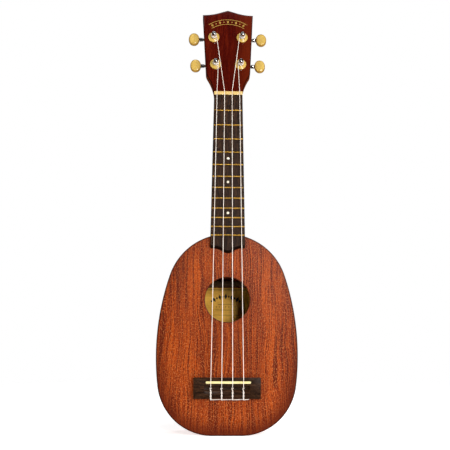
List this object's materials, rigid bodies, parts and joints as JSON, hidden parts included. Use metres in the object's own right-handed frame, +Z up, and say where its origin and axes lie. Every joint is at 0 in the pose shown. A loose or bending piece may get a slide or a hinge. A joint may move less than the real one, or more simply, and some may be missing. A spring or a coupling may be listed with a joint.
{
  "type": "ukulele",
  "caption": "Soprano ukulele with a bell-shaped hollow body, fretted neck, tie bridge and geared side tuners that turn the string posts.",
  "frame": {"origin": "centre line of the instrument, at the nut's front edge, on the plane of the soundboard's outer face, where the neck carries the fingerboard", "axes": "+Z up the neck towards the headstock, -Y out of the soundboard towards the player's strumming hand, +X to the right of a viewer in front"},
  "size_m": [0.1698, 0.071, 0.5291],
  "materials": {
    "mahogany": "satin lacquer over open vertical grain",
    "neck_wood": "satin lacquer",
    "inner_wood": "bare",
    "head_gloss": "deep red gloss lacquer",
    "fingerboard_wood": "oiled, fine dark grain",
    "label_paper": "gold printed paper",
    "fret_brass": "polished",
    "dot_white": "polished",
    "bone_plastic": "polished, warm ivory",
    "cream_plastic": "polished, butter cream",
    "tuner_steel": "bright plate",
    "gear_brass": "cut and polished",
    "string_nylon": "translucent white monofilament"
  },
  "bodies": {
    "instrument": {"soundboard": "mahogany", "back_plate": "mahogany", "rib_left": "mahogany", "rib_right": "mahogany", "back_brace_upper": "mahogany", "back_brace_lower": "mahogany", "neck": "neck_wood", "headstock": "neck_wood", "neck_block": "inner_wood", "tail_block": "inner_wood", "top_lining": "inner_wood", "back_lining": "inner_wood", "top_brace_upper": "inner_wood", "top_brace_lower": "inner_wood", "bridge_patch": "inner_wood", "neck_dowels": "inner_wood", "head_veneer": "head_gloss", "fingerboard": "fingerboard_wood", "bridge": "fingerboard_wood", "heel_cap": "fingerboard_wood", "paper_label": "label_paper", "frets": "fret_brass", "position_dots": "dot_white", "nut": "bone_plastic", "saddle": "bone_plastic", "bushings": "cream_plastic", "plate_screws": "tuner_steel", "tuner_plate_g": "tuner_steel", "tuner_plate_c": "tuner_steel", "tuner_plate_e": "tuner_steel", "tuner_plate_a": "tuner_steel", "string_g": "string_nylon", "string_c": "string_nylon", "string_e": "string_nylon", "string_a": "string_nylon"},
    "knob_g": {"worm_g": "tuner_steel", "button_g": "cream_plastic"},
    "capstan_g": {"post_g": "tuner_steel", "gear_g": "gear_brass", "gear_screw_g": "tuner_steel", "winding_g": "string_nylon"},
    "knob_c": {"worm_c": "tuner_steel", "button_c": "cream_plastic"},
    "capstan_c": {"post_c": "tuner_steel", "gear_c": "gear_brass", "gear_screw_c": "tuner_steel", "winding_c": "string_nylon"},
    "knob_e": {"worm_e": "tuner_steel", "button_e": "cream_plastic"},
    "capstan_e": {"post_e": "tuner_steel", "gear_e": "gear_brass", "gear_screw_e": "tuner_steel", "winding_e": "string_nylon"},
    "knob_a": {"worm_a": "tuner_steel", "button_a": "cream_plastic"},
    "capstan_a": {"post_a": "tuner_steel", "gear_a": "gear_brass", "gear_screw_a": "tuner_steel", "winding_a": "string_nylon"}
  },
  "joints": [
    {"name": "knob_turn_g", "type": "hinge", "parent": "instrument", "child": "knob_g", "pos_m": [-0.0156, 0.02494, 0.04489], "axis": [1, 0, 0], "continuous": true},
    {"name": "post_turn_g", "type": "hinge", "parent": "instrument", "child": "capstan_g", "pos_m": [-0.0156, 0.00698, 0.04216], "axis": [0, -0.9781, 0.2079], "continuous": true},
    {"name": "knob_turn_c", "type": "hinge", "parent": "instrument", "child": "knob_c", "pos_m": [-0.0179, 0.03282, 0.08196], "axis": [1, 0, 0], "continuous": true},
    {"name": "post_turn_c", "type": "hinge", "parent": "instrument", "child": "capstan_c", "pos_m": [-0.0179, 0.01486, 0.07923], "axis": [0, -0.9781, 0.2079], "continuous": true},
    {"name": "knob_turn_e", "type": "hinge", "parent": "instrument", "child": "knob_e", "pos_m": [0.0179, 0.03282, 0.08196], "axis": [1, 0, 0], "continuous": true},
    {"name": "post_turn_e", "type": "hinge", "parent": "instrument", "child": "capstan_e", "pos_m": [0.0179, 0.01486, 0.07923], "axis": [0, -0.9781, 0.2079], "continuous": true},
    {"name": "knob_turn_a", "type": "hinge", "parent": "instrument", "child": "knob_a", "pos_m": [0.0156, 0.02494, 0.04489], "axis": [1, 0, 0], "continuous": true},
    {"name": "post_turn_a", "type": "hinge", "parent": "instrument", "child": "capstan_a", "pos_m": [0.0156, 0.00698, 0.04216], "axis": [0, -0.9781, 0.2079], "continuous": true}
  ],
  "couplings": [
    {"joint": "post_turn_g", "follows": "knob_turn_g", "ratio": 0.071429},
    {"joint": "post_turn_c", "follows": "knob_turn_c", "ratio": 0.071429},
    {"joint": "post_turn_e", "follows": "knob_turn_e", "ratio": 0.071429},
    {"joint": "post_turn_a", "follows": "knob_turn_a", "ratio": 0.071429}
  ]
}
